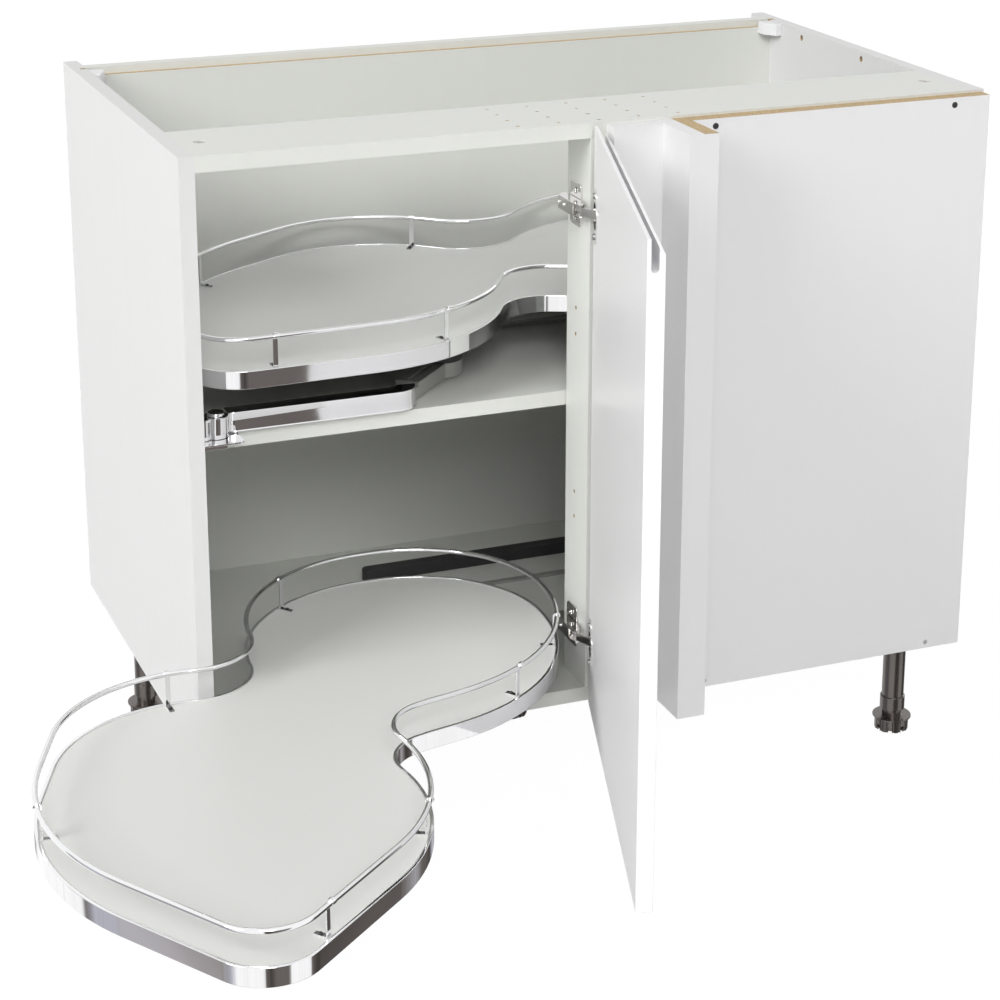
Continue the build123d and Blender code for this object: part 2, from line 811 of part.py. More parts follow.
def swing_arm(plane):
    """A box arm from the post's sleeve to the tray's hub, bent under the cover."""
    inner_y = cover_front + cover_wall + beam_cover_clearance
    outer_y = cover_back - cover_wall - beam_cover_clearance
    leg_end = cover_length - cover_wall * 2
    start = Vector(*beam_start)
    end = Vector(*arm_reach)
    along = (end - start).normalized()
    across = Vector(-along.Y, along.X)
    half = across * (beam_width / 2)
    high_start = start + along * beam_ramp
    groove_start = high_start + along * beam_groove_margin
    groove_end = end - along * (hub_diameter / 2 + beam_groove_margin)
    groove = across * (beam_groove_width / 2)
    with BuildPart() as piece:
        with BuildSketch(plane.offset(arm_low)):
            Circle(sleeve_diameter / 2)
            with BuildLine():
                Polyline(
                    (0, inner_y),
                    (cover_length - cover_corner, inner_y),
                    (leg_end, inner_y + cover_corner - beam_cover_clearance - cover_wall * 2),
                    (leg_end, outer_y),
                    (0, outer_y - leg_taper),
                    close=True,
                )
            make_face()
        extrude(amount=beam_front_high - arm_low)
        with BuildSketch(plane.offset(arm_low)):
            with BuildLine():
                Polyline(start + half, end + half, end - half, start - half, close=True)
            make_face()
            with Locations(arm_reach):
                Circle(hub_diameter / 2)
        extrude(amount=beam_front_high - arm_low)
        with BuildSketch(plane.offset(beam_front_high)):
            with BuildLine():
                Polyline(high_start + half, end + half, end - half, high_start - half, close=True)
            make_face()
            with Locations(arm_reach):
                Circle(hub_diameter / 2)
        extrude(amount=beam_high - beam_front_high)
        with BuildSketch(plane.offset(arm_low)):
            Circle(sleeve_diameter / 2)
        extrude(amount=arm_high - arm_low)
        for height in (arm_low, arm_high - knuckle_web):
            with BuildSketch(plane.offset(height)):
                with BuildLine():
                    Line((0, 0), knuckle_place)
                trace(line_width=knuckle_diameter)
            extrude(amount=knuckle_web)
        with BuildSketch(plane.offset(arm_low)):
            with Locations(knuckle_place):
                Circle(knuckle_diameter / 2)
        extrude(amount=arm_high - arm_low)
        with BuildSketch(plane.offset(beam_high)):
            with BuildLine():
                Polyline(
                    groove_start + groove,
                    groove_end + groove,
                    groove_end - groove,
                    groove_start - groove,
                    close=True,
                )
            make_face()
        extrude(amount=-beam_groove_depth, mode=Mode.SUBTRACT)
        with Locations(plane.offset(arm_high)):
            Hole(post_diameter / 2 + sleeve_clearance, depth=arm_high)
        with Locations(plane.offset(beam_high)):
            with Locations(arm_reach):
                Hole(hub_pin_diameter / 2 + sleeve_clearance, depth=beam_high)
    return piece


def arm_cover(plane):
    """The chrome cover: a bent channel along the arm's front leg, rounded at its end."""
    cover_start = sleeve_diameter / 2 + 2
    start = plane.from_local_coords((cover_start, 0, 0))
    section = Plane(origin=start, x_dir=plane.y_dir, z_dir=plane.x_dir)
    ledge = cover_front + cover_ledge
    with BuildPart() as piece:
        with BuildLine(plane):
            Line((cover_start, cover_front), (cover_length - cover_corner, cover_front))
            RadiusArc(
                (cover_length - cover_corner, cover_front),
                (cover_length, cover_front + cover_corner),
                -cover_corner,
            )
        with BuildSketch(section):
            with BuildLine():
                Polyline(
                    (cover_front, arm_low),
                    (cover_front, cover_step),
                    (ledge, cover_step + 2),
                    (cover_edge, cover_high),
                    (cover_edge, cover_high - cover_wall),
                    (ledge + cover_wall / 2, cover_step + 2 - cover_wall),
                    (cover_front + cover_wall, cover_step - cover_wall / 2),
                    (cover_front + cover_wall, arm_low),
                    close=True,
                )
            make_face()
        sweep()
    return piece


def tray_hub(plane, rise):
    """The plate under the tray, with the boss and pin that sit in the arm's end."""
    under_board = -tray_board_drop - tray_board_thickness
    boss_low = beam_high + hub_gap - rise
    with BuildPart() as piece:
        with BuildSketch(plane.offset(under_board - hub_plate_thickness)):
            with Locations(hub_plate_shift):
                RectangleRounded(hub_plate_length, hub_plate_width, hub_plate_round)
        extrude(amount=hub_plate_thickness)
        with BuildSketch(plane.offset(boss_low)):
            Circle(hub_diameter / 2)
        extrude(amount=under_board - hub_plate_thickness - boss_low)
        with BuildSketch(plane.offset(arm_low - rise)):
            Circle(hub_pin_diameter / 2)
        extrude(amount=boss_low - arm_low + rise)
        with BuildSketch(plane.offset(under_board - hub_plate_thickness)):
            with PolarLocations(hub_diameter / 2 + hub_rib_length / 2 - 1, hub_ribs):
                Rectangle(hub_rib_length, hub_rib_width)
        extrude(amount=-hub_rib_height)
    return piece


def latch_plate(plane):
    """The catch under the tray's front corner: an angled tongue on a flat foot."""
    under_board = -tray_board_drop - tray_board_thickness
    x, y = from_pivot(latch_share)
    with BuildPart() as piece:
        with BuildSketch(plane.offset(under_board)):
            with Locations((x, y)):
                Rectangle(latch_foot_width, latch_foot_length)
        extrude(amount=-latch_thickness)
        side = Plane(
            origin=plane.from_local_coords((x - latch_thickness / 2, y, under_board - latch_thickness)),
            x_dir=plane.y_dir,
            z_dir=plane.x_dir,
        )
        with BuildSketch(side):
            with BuildLine():
                Polyline(
                    (-latch_foot_length / 2, 0),
                    (latch_foot_length / 2, 0),
                    (latch_tip_back, -latch_height),
                    (latch_tip_front, -latch_height),
                    close=True,
                )
            make_face()
        extrude(amount=latch_thickness)
    return piece


def bracket_frames(plane):
    """Where the railing brackets stand: points on the edge and the way into the tray."""
    face = tray_sketch(plane).sketch.face()
    edge = face.outer_wire()
    frames = []
    for station in bracket_stations:
        point = edge.position_at(station)
        tangent = edge.tangent_at(station)
        inward = Vector(-tangent.Y, tangent.X, 0)
        if not face.is_inside(point + inward):
            inward = -inward
        frames.append((point, inward))
    return frames


def railing_brackets(plane):
    """Flat brackets: a foot on the board, a strip up, and a hook over the wire."""
    hook_inside = rail_wire / 2 + rail_hook_clearance
    hook_outside = hook_inside + rail_bracket_thickness
    centre = rail_wire / 2
    inner = centre + hook_inside
    outer = centre + hook_outside
    tip_inside = centre - hook_inside
    tip_outside = centre - hook_outside
    toe = inner + rail_bracket_foot
    low = -tray_board_drop
    foot_top = low + rail_bracket_thickness
    high = rail_height
    with BuildPart() as piece:
        for point, inward in bracket_frames(plane):
            across = Vector(0, 0, 1).cross(inward)
            origin = point + across * (rail_bracket_width / 2)
            with BuildSketch(Plane(origin=origin, x_dir=inward, z_dir=-across)):
                with BuildLine():
                    Polyline(
                        (inner, high),
                        (inner, low),
                        (toe, low),
                        (toe, foot_top),
                        (outer, foot_top),
                        (outer, high),
                    )
                    ThreePointArc((outer, high), (centre, high + hook_outside), (tip_outside, high))
                    Line((tip_outside, high), (tip_inside, high))
                    ThreePointArc((tip_inside, high), (centre, high + hook_inside), (inner, high))
                make_face()
            extrude(amount=rail_bracket_width)
    return piece


def railing_screws(plane):
    """Round-headed screws through the brackets' feet."""
    foot_top = -tray_board_drop + rail_bracket_thickness
    inset = rail_wire + rail_bracket_thickness + rail_bracket_foot / 2
    with BuildPart() as piece:
        for point, inward in bracket_frames(plane):
            place = point + inward * inset + Vector(0, 0, foot_top)
            with BuildSketch(Plane(origin=place)):
                Circle(rail_screw_head / 2)
            extrude(amount=rail_screw_height, taper=screw_taper)
    return piece


for name, (panel_top, rise, arm_turn, tray_turn, wraps_edge) in units.items():
    arm_plane = turned_plane((pivot[0], pivot[1], panel_top), arm_turn)
    hub_place = arm_plane.from_local_coords((arm_reach[0], arm_reach[1], rise))
    tray_plane = turned_plane(hub_place, tray_turn)

    save(mounting_bracket(panel_top, wraps_edge), name + "_mounting_bracket")
    save(swing_arm(arm_plane), name + "_swing_arm")
    save(arm_cover(arm_plane), name + "_arm_cover")
    save(tray_hub(tray_plane, rise), name + "_tray_hub")
    save(latch_plate(tray_plane), name + "_latch_plate")

    with BuildPart() as tray_board:
        board_top = tray_sketch(
            tray_plane.offset(-tray_board_drop), band_thickness + tray_board_clearance
        )
        extrude(board_top.sketch, amount=-tray_board_thickness)
    save(tray_board, name + "_tray_board")

    with BuildPart() as tray_band:
        extrude(tray_sketch(tray_plane).sketch, amount=-band_height)
        extrude(tray_sketch(tray_plane, band_thickness).sketch, amount=-band_height, mode=Mode.SUBTRACT)
    save(tray_band, name + "_tray_band")

    wire_line = tray_sketch(tray_plane.offset(rail_height), rail_wire / 2).sketch.face().outer_wire()
    with BuildPart() as tray_railing:
        with BuildSketch(Plane(origin=wire_line.position_at(0), z_dir=wire_line.tangent_at(0))):
            Circle(rail_wire / 2)
        sweep(path=wire_line)
    save(tray_railing, name + "_tray_railing")
    save(railing_brackets(tray_plane), name + "_railing_brackets")
    save(railing_screws(tray_plane), name + "_railing_screws")

panel_tops = [unit[0] for unit in units.values()]
rear_left = inner_left + rear_rail_side_gap
rear_right = inner_right - rear_rail_end_gap
rear_middle = (rear_left + rear_right) / 2
with BuildPart() as rear_rails:
    for panel_top in panel_tops:
        with BuildSketch(Plane.XY.offset(panel_top)):
            with Locations((rear_middle, back_panel_front - rear_rail_back_gap - rear_rail_width / 2)):
                SlotOverall(rear_right - rear_left, rear_rail_width)
        extrude(amount=rear_rail_height)
save(rear_rails, "rear_rails")

with BuildPart() as floor_bars:
    for panel_top in panel_tops:
        with BuildSketch(Plane.XY.offset(panel_top)):
            with Locations((rear_middle, back_panel_front - floor_bar_back_gap - floor_bar_width / 2)):
                Rectangle(rear_right - rear_left, floor_bar_width)
        extrude(amount=floor_bar_height)
save(floor_bars, "floor_bars")

with BuildPart() as base_screws:
    for panel_top in panel_tops:
        with BuildSketch(Plane(origin=(left, front, panel_top + base_plate_thickness))):
            with Locations((pivot_side, base_screw_place)):
                with GridLocations(base_screw_pitch, 1, 2, 1):
                    Circle(base_screw_head / 2)
        extrude(amount=base_screw_height, taper=screw_taper)
save(base_screws, "base_screws")
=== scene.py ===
# %% [markdown]
# # Dressing a blind corner base cabinet
# The solid model of the cabinet comes in as a fixed frame: every board, tray and screw
# already has its place, in metres, with the origin on the floor under the middle of the
# carcass. This script gives each piece its finish, swaps some of them for finer meshes,
# and sets up the floor, the lamps and the camera.

# %% Load the frame
import json
import math

import bmesh
import bpy
from mathutils import Matrix, Vector


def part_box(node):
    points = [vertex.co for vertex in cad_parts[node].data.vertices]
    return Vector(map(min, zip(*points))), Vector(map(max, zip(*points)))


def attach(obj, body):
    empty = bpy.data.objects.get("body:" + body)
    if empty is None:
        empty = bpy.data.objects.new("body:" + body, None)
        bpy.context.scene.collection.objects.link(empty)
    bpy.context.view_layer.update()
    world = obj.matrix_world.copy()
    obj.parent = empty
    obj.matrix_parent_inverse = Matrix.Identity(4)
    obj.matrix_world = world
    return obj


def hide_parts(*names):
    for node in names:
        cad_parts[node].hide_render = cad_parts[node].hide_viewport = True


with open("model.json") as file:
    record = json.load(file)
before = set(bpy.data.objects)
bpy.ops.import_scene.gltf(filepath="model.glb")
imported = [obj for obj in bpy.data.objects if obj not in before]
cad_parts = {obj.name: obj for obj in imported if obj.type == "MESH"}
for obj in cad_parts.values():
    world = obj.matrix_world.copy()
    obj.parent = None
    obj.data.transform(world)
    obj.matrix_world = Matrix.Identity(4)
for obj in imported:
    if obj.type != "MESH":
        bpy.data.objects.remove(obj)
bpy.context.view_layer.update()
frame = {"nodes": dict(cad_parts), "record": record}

cad = frame["nodes"]
body_of_node = {
    node: body
    for body, members in frame["record"]["behaviour"]["bodies"].items()
    for node in members
}
mm = 0.001

# %% [markdown]
# ## Where the tray units stand
# Both units hang on posts at the same place behind the left side. The upper arm and tray
# are stowed, so their angles are 0; the lower ones are swung out. Both angles of a unit
# are measured from the stowed position, the tray's too.

# %% Post, arms and trays
post = Vector((-454 * mm, -235 * mm, 0))
arm_reach = Vector((318 * mm, 125.7 * mm, 0))
arm_angle = {"upper": 0, "lower": -105.4}
tray_angle = {"upper": 0, "lower": 38.0}
tray_rim = {"upper": 614 * mm, "lower": 246 * mm}
arm_height = {"upper": 529 * mm, "lower": 168 * mm}


def turn(angle):
    """A turn about the upright axis, in degrees."""
    return Matrix.Rotation(math.radians(angle), 4, "Z")


print("lower arm out by", -arm_angle["lower"], "degrees")

# %% [markdown]
# ## Arithmetic for nodes
# Finishes and geometry trees are both graphs of nodes, and both are full of small sums.
# Wiring Math nodes by hand hides what they work out, so one class wraps a socket and
# answers to + - * > and <, and another class wraps a tree and makes any other node.


# %% A socket that does arithmetic
class Signal:
    """An output socket of a tree that builds a Math node for each operator."""

    def __init__(self, tree, socket):
        self.tree = tree
        self.socket = socket

    def out(self, name):
        """Another output of the node that this socket belongs to."""
        return Signal(self.tree, self.socket.node.outputs[name])

    def __add__(self, other):
        return self.tree.math("ADD", self, other)

    def __sub__(self, other):
        return self.tree.math("SUBTRACT", self, other)

    def __rsub__(self, other):
        return self.tree.math("SUBTRACT", other, self)

    def __mul__(self, other):
        return self.tree.math("MULTIPLY", self, other)

    def __gt__(self, other):
        return self.tree.math("GREATER_THAN", self, other)

    def __lt__(self, other):
        return self.tree.math("LESS_THAN", self, other)


class Tree:
    """A node tree whose nodes are made one call at a time."""

    def __init__(self, tree):
        self.tree = tree

    def node(self, kind, settings=None, sockets=None, output=0):
        """Makes a node, applies its settings, then fills or links its sockets."""
        made = self.tree.nodes.new(kind)
        for name, value in (settings or {}).items():
            if name == "stops":
                self.fill_ramp(made.color_ramp, value)
            else:
                setattr(made, name, value)
        for name, value in (sockets or {}).items():
            if isinstance(value, Signal):
                self.tree.links.new(value.socket, made.inputs[name])
            elif value is not None:
                made.inputs[name].default_value = value
        return Signal(self, made.outputs[output]) if made.outputs else made

    def fill_ramp(self, ramp, stops):
        """Sets a colour ramp's stops from (position, colour) pairs."""
        for position, colour in stops[1:-1]:
            ramp.elements.new(position).color = (*colour, 1)
        for end in (0, -1):
            position, colour = stops[end]
            ramp.elements[end].position = position
            ramp.elements[end].color = (*colour, 1)

    def math(self, operation, first, second):
        """A Math node on two values, each a number or a Signal."""
        return self.node("ShaderNodeMath", {"operation": operation}, {0: first, 1: second})

    def mix(self, share, first, second):
        """A colour between two, where share is 0 for the first and 1 for the second."""
        ends = [c if isinstance(c, Signal) else (*c, 1) for c in (first, second)]
        return self.node(
            "ShaderNodeMix",
            {"data_type": "RGBA"},
            {0: share, 6: ends[0], 7: ends[1]},
            output=2,
        )

    def noise(self, scale, detail=2.0, rough=0.5, stretch=None):
        """Noise over Object coordinates, which are metres in the part's own frame."""
        place = self.node("ShaderNodeTexCoord", output="Object")
        if stretch:
            place = self.node("ShaderNodeMapping", None, {"Vector": place, "Scale": stretch})
        values = {"Vector": place, "Scale": scale, "Detail": detail, "Roughness": rough}
        return self.node("ShaderNodeTexNoise", None, values)

    def place(self):
        """The X, Y and Z of the surface, in metres."""
        whole = self.node("ShaderNodeTexCoord", output="Object")
        parts = self.node("ShaderNodeSeparateXYZ", None, {0: whole})
        return parts, parts.out("Y"), parts.out("Z")


def finish(name):
    """A new material's tree with one shader, and the shader's own sockets."""
    material = bpy.data.materials.new(name)
    material.use_nodes = True
    tree = Tree(material.node_tree)
    shader = next(n for n in material.node_tree.nodes if n.type == "BSDF_PRINCIPLED")
    return material, tree, shader


def plug(tree, shader, **values):
    """Sets or links a shader's sockets; an underscore in a name stands for a space."""
    for name, value in values.items():
        socket = shader.inputs[name.replace("_", " ")]
        if isinstance(value, Signal):
            tree.tree.links.new(value.socket, socket)
        else:
            socket.default_value = value


# %% [markdown]
# ## Boards
# The carcass is chipboard faced with white melamine. Where a board is sawn, drilled or
# grooved, the raw brown core shows. The core is found by place: a surface that lies
# deeper than a hair inside the board's own box can only be a hole or a groove, so each
# board needs its own material, with that box written into it. The top edges of a few
# boards were never banded, so they are raw as well.


# %% Raw chipboard
def chipboard(tree):
    """The colour and height of pressed wood chips, two to four millimetres long."""
    chips = tree.noise(420, detail=4, rough=0.65, stretch=(1, 1, 1.6))
    dust = tree.noise(1900, detail=2)
    browns = [
        (0.28, (0.29, 0.20, 0.10)),
        (0.48, (0.50, 0.37, 0.205)),
        (0.72, (0.66, 0.53, 0.35)),
    ]
    tone = tree.node("ShaderNodeValToRGB", {"stops": browns}, {"Fac": chips * 0.8 + dust * 0.2})
    return tone, chips


# %% Melamine, with its raw places
def faced_shader(material, tree, shader, colour, rough, core, pearl, fibre_share):
    """A smooth face with a faint cloud and grain, and chipboard where core is 1."""
    clouds = tree.noise(2.2, detail=3)
    fibre = tree.noise(70, detail=4, rough=0.6, stretch=(1, 1, 0.05))
    dark = tuple(c * 0.93 for c in colour)
    face = tree.mix(clouds * 0.4 + fibre * fibre_share, colour, dark)
    pearls = tree.noise(2600, detail=1)
    if core is None:
        tone, height, gloss = face, pearls, fibre * 0.05 + rough
    else:
        wood, chips = chipboard(tree)
        tone = tree.mix(core, face, wood)
        height = pearls * (1 - core) * pearl + chips * core
        gloss = core * (0.92 - rough) + fibre * 0.05 + rough
    bump = tree.node(
        "ShaderNodeBump",
        None,
        {"Strength": pearl if core is None else 0.5, "Distance": 0.12 * mm, "Height": height},
    )
    plug(tree, shader, Base_Color=tone, Roughness=gloss, Normal=bump, IOR=1.47)
    return material


hair = 0.4 * mm
edge_depth = 0.05 * mm


def melamine_board(node, colour, raw_top):
    """Melamine for one board of the carcass, with raw chipboard in its cuts."""
    material, tree, shader = finish("melamine of " + node)
    low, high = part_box(node)
    x, y, z = tree.place()
    core = (x > low[0] + hair) * (x < high[0] - hair) * (y > low[1] + hair)
    core = core * (y < high[1] - hair) * (z > low[2] + hair) * (z < high[2] - hair)
    if raw_top:
        core = tree.math("MAXIMUM", core, z > high[2] - edge_depth)
    return faced_shader(
        material, tree, shader, colour, rough=0.42, core=core, pearl=0.2, fibre_share=0.35
    )


def lacquer_coat(name, colour, raw_above=None):
    """Sprayed lacquer; a height may be given above which the edge was left raw."""
    material, tree, shader = finish(name)
    core = None
    if raw_above is not None:
        core = tree.place()[2] > raw_above
    return faced_shader(
        material, tree, shader, colour, rough=0.3, core=core, pearl=0.06, fibre_share=0.12
    )


def dress(node, material):
    """Gives a node of the frame a new material in all of its slots."""
    mesh = cad[node].data
    mesh.materials.clear()
    mesh.materials.append(material)


inner_white = (0.725, 0.735, 0.695)
# The stile's melamine is the inner white painted lighter: painted light for light the stile does
# not get beside the door.
stile_white_painted_lighter = (0.80, 0.81, 0.772)
outer_white = (0.72, 0.72, 0.715)
lacquer_white = (0.80, 0.797, 0.80)
# The door's lacquer is the white of the other fronts painted lighter: painted light for light its
# inner face does not get.
door_white_painted_lighter = (0.91, 0.905, 0.915)
carcass_boards = [
    ("side_panel_left", outer_white, False),
    ("side_panel_right", outer_white, False),
    ("bottom_panel", inner_white, False),
    ("back_panel", inner_white, True),
    ("back_rail", inner_white, False),
    ("mid_shelf", inner_white, False),
    ("top_front_rail", inner_white, False),
    ("hinge_stile", stile_white_painted_lighter, False),
]
for node, colour, raw_top in carcass_boards:
    dress(node, melamine_board(node, colour, raw_top))
lacquer = lacquer_coat("white lacquer", lacquer_white)
raw_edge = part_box("blind_panel")[1][2] - edge_depth
raw_edged = lacquer_coat("white lacquer with a raw top edge", lacquer_white, raw_edge)
front_boards = {
    "corner_filler_face": lacquer,
    "corner_filler_return": lacquer,
    "blind_return_board": raw_edged,
    "blind_panel": raw_edged,
}
for node, material in front_boards.items():
    dress(node, material)
print("boards faced:", len(carcass_boards) + len(front_boards))

# %% [markdown]
# ## Metals and plastics
# Polished chrome is nearly white and shows the room, so almost all of its look comes
# from reflections; a slow change of roughness keeps it from looking like a mirror in a
# diagram. Powder coat has a fine orange peel. The legs are dark, smoked plastic.


# %% Finishes of the fittings
def metal(name, colour, rough, smudge=0.03, grain=None):
    """A plated or brushed metal; grain stretches its scratches along one axis."""
    material, tree, shader = finish(name)
    film = tree.noise(14, detail=3)
    marks = tree.noise(900, detail=2, stretch=grain) if grain else tree.noise(320, detail=2)
    plug(
        tree,
        shader,
        Base_Color=tree.mix(film, colour, tuple(c * 0.93 for c in colour)),
        Metallic=1.0,
        Roughness=film * smudge + marks * smudge * 0.5 + rough,
    )
    return material


def coating(name, colour, rough, peel=0.2, vary=0.12, metallic=0.0):
    """A moulded or powder-coated surface with its own fine relief."""
    material, tree, shader = finish(name)
    relief = tree.noise(900, detail=2)
    wear = tree.noise(22, detail=4)
    bump = tree.node(
        "ShaderNodeBump", None, {"Strength": peel, "Distance": 0.1 * mm, "Height": relief}
    )
    plug(
        tree,
        shader,
        Base_Color=tree.mix(wear, colour, tuple(c * (1 - vary) for c in colour)),
        Roughness=wear * 0.1 + relief * 0.05 + rough,
        Normal=bump,
        Metallic=metallic,
    )
    return material


chrome = metal("bright chrome", (0.86, 0.86, 0.87), 0.035)
nickel = metal("hinge nickel", (0.80, 0.79, 0.775), 0.07, smudge=0.05)
zinc = metal("zinc plate", (0.56, 0.56, 0.55), 0.3, smudge=0.1, grain=(1, 30, 1))
grey_steel = coating("grey powder coat", (0.42, 0.42, 0.40), 0.38, metallic=0.4)
dark_steel = coating("black powder coat", (0.03, 0.03, 0.032), 0.45)
black_plastic = coating("black plastic", (0.02, 0.02, 0.022), 0.4)
white_plastic = coating("white plastic", (0.80, 0.80, 0.81), 0.4, vary=0.03)
leg_plastic = coating("smoked leg plastic", (0.15, 0.135, 0.125), 0.16, peel=0.05, metallic=0.85)


def tray_finish(node):
    """Pearled pale melamine on top, and a near-black underside that is painted shade."""
    material, tree, shader = finish("melamine of " + node)
    # The underside is painted nearly black: painted shade for the deep shade under the tray.
    under = tree.place()[2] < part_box(node)[0][2] + 0.2 * mm
    clouds = tree.noise(5, detail=3)
    pale = tree.mix(clouds, (0.725, 0.73, 0.705), (0.70, 0.706, 0.68))
    pearls = tree.noise(2200, detail=2)
    bump = tree.node(
        "ShaderNodeBump", None, {"Strength": 0.15, "Distance": 0.1 * mm, "Height": pearls}
    )
    plug(
        tree,
        shader,
        Base_Color=tree.mix(under, pale, (0.085, 0.085, 0.08)),
        Roughness=clouds * 0.08 + under * 0.1 + 0.4,
        Normal=bump,
    )
    return material


for node in ("upper_tray_board", "lower_tray_board"):
    dress(node, tray_finish(node))
print("finishes made:", len(bpy.data.materials))


# %% [markdown]
# ## Eased copies of the solids
# A solid from the frame is a bag of loose triangles with knife-sharp edges. For metal
# and moulded pieces a copy is welded, its flat faces are joined again, and its edges are
# eased by a few tenths of a millimetre, so that they catch the light as real ones do.


# %% Weld, ease and smooth
sharp_angle = math.radians(35)


def new_object(name, data):
    """A new object of the scene, at the origin."""
    piece = bpy.data.objects.new(name, data)
    bpy.context.scene.collection.objects.link(piece)
    return piece


def mesh_from(made, name):
    """The plain mesh of an edit mesh, which is freed."""
    mesh = bpy.data.meshes.new(name)
    made.to_mesh(mesh)
    made.free()
    return mesh


def place_on_body(piece, node, material):
    """Puts a finished mesh in the place of a node, on the same body."""
    piece.data.materials.clear()
    piece.data.materials.append(material)
    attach(piece, body_of_node[node])
    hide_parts(node)


def smooth_by_angle(mesh, angle):
    """Smooths faces and keeps edges crisp where they turn by more than an angle."""
    made = bmesh.new()
    made.from_mesh(mesh)
    for face in made.faces:
        face.smooth = True
    for edge in made.edges:
        edge.smooth = len(edge.link_faces) == 2 and edge.calc_face_angle(0) < angle
    made.to_mesh(mesh)
    made.free()


def welded_copy(node, name):
    """A plain copy of a node's mesh with its triangles joined into flat faces."""
    made = bmesh.new()
    made.from_mesh(cad[node].data)
    bmesh.ops.remove_doubles(made, verts=made.verts, dist=1e-6)
    bmesh.ops.dissolve_limit(
        made, angle_limit=math.radians(0.5), verts=made.verts, edges=made.edges
    )
    return new_object(name, mesh_from(made, name))


def shade_evenly(piece):
    """Applies a piece's modifiers, and lets its large flat faces set the shading."""
    even = piece.modifiers.new("even shading", "WEIGHTED_NORMAL")
    even.keep_sharp = False
    even.weight = 100
    shown = piece.evaluated_get(bpy.context.evaluated_depsgraph_get())
    mesh = bpy.data.meshes.new_from_object(shown)
    piece.modifiers.clear()
    piece.data = mesh
    for polygon in mesh.polygons:
        polygon.use_smooth = True


def ease_edges(piece, ease):
    """Rounds a piece's edges by some millimetres, then shades it evenly."""
    smooth_by_angle(piece.data, sharp_angle)
    bevel = piece.modifiers.new("ease", "BEVEL")
    bevel.width = ease * mm
    bevel.segments = 2
    bevel.limit_method = "ANGLE"
    bevel.angle_limit = sharp_angle
    bevel.use_clamp_overlap = True
    shade_evenly(piece)


def eased_copy(node, material, ease):
    """A welded copy of a node with eased edges, put in its place."""
    piece = welded_copy(node, node + "_eased")
    ease_edges(piece, ease)
    place_on_body(piece, node, material)
    return piece


print("edges sharper than", round(math.degrees(sharp_angle)), "degrees will be eased")

# %% [markdown]
# ## The base plates of the hinges
# A hinge is held by a base plate with two wide, rounded wings, and a rib down its middle
# carries the arm. The solid has narrow wings, so both plates are laid again: one block
# with rounded corners for the wings and one for the rib.


# %% Wings and rib
def rounded_block(made, middle, half_deep, half_high, corner, left, right):
    """A plate with rounded corners, in millimetres, between two planes across X."""
    steps = 6
    rim = []
    for quarter, (side, up) in enumerate(((1, 1), (-1, 1), (-1, -1), (1, -1))):
        for step in range(steps + 1):
            a = math.radians(90 * quarter + 90 / steps * step)
            rim.append(
                (
                    middle.y + (side * (half_deep - corner) + corner * math.cos(a)) * mm,
                    middle.z + (up * (half_high - corner) + corner * math.sin(a)) * mm,
                )
            )
    ends = [[made.verts.new((x, y, z)) for y, z in rim] for x in (left, right)]
    for n in range(len(rim)):
        m = (n + 1) % len(rim)
        made.faces.new((ends[0][n], ends[0][m], ends[1][m], ends[1][n]))
    made.faces.new(ends[0])
    made.faces.new(list(reversed(ends[1])))


wing_thickness = 2.5 * mm
rib_overlap = 0.3 * mm


def winged_plate(end):
    """The base plate of a hinge, screwed to the stile, in place of the plain one."""
    node = "hinge_plate_" + end
    low, high = [Vector(corner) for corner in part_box(node)]
    middle = (low + high) / 2
    face = high.x - wing_thickness
    made = bmesh.new()
    rounded_block(made, middle, half_deep=15.5, half_high=25.9, corner=6, left=face, right=high.x)
    rounded_block(
        made, middle, half_deep=17.9, half_high=6, corner=1, left=low.x, right=face + rib_overlap
    )
    bmesh.ops.recalc_face_normals(made, faces=made.faces)
    piece = new_object(node + "_winged", mesh_from(made, node + "_winged"))
    ease_edges(piece, ease=0.5)
    place_on_body(piece, node, nickel)


print("wings will be", round(wing_thickness / mm, 1), "mm thick")

# %% [markdown]
# ## Hinges, arms, rails and the door
# Each hinge gets its new base plate together with its other parts. Small parts of a hinge
# have finely eased edges, castings and bent sheet softer ones. The arms are powder coated
# but for the sleeve and knuckle at the post, which are plated.

# %% Plates and eased fittings
for end in ("top", "bottom"):
    winged_plate(end)
    for part in ("arm", "cup", "link"):
        eased_copy("hinge_" + part + "_" + end, nickel, ease=0.25)
for unit in ("upper", "lower"):
    eased_copy(unit + "_swing_arm", grey_steel, ease=0.6)
    eased_copy(unit + "_mounting_bracket", chrome, ease=0.4)
    eased_copy(unit + "_tray_hub", dark_steel, ease=0.5)
    eased_copy(unit + "_latch_plate", grey_steel, ease=0.3)
eased_copy("rear_rails", dark_steel, ease=0.8)
eased_copy("floor_bars", grey_steel, ease=0.3)
eased_copy("back_panel_blocks", white_plastic, ease=0.5)
# The door gets its own copy of the lacquer, painted lighter as painted light.
door_lacquer_painted_lighter = lacquer_coat("white lacquer of the door, painted lighter", door_white_painted_lighter)
eased_copy("door_panel", door_lacquer_painted_lighter, ease=0.5)
# Faces this close to the post, or this far behind it along the arm, are plated.
knuckle_radius = 14.6 * mm
knuckle_reach = -4 * mm
for unit in ("upper", "lower"):
    arm = bpy.data.objects[unit + "_swing_arm_eased"]
    arm.data.materials.append(chrome)
    for polygon in arm.data.polygons:
        reach = (turn(-arm_angle[unit]) @ (polygon.center - post)).xy
        if reach.length < knuckle_radius or reach.x < knuckle_reach:
            polygon.material_index = 1

# %% [markdown]
# ## Trees of geometry nodes
# What repeats, or follows a path, is made by geometry nodes: the trees below place a
# pattern on points, and run a wire or a band round the outline of a tray. A tree keeps
# its sizes as named inputs, so one tree serves both trays.


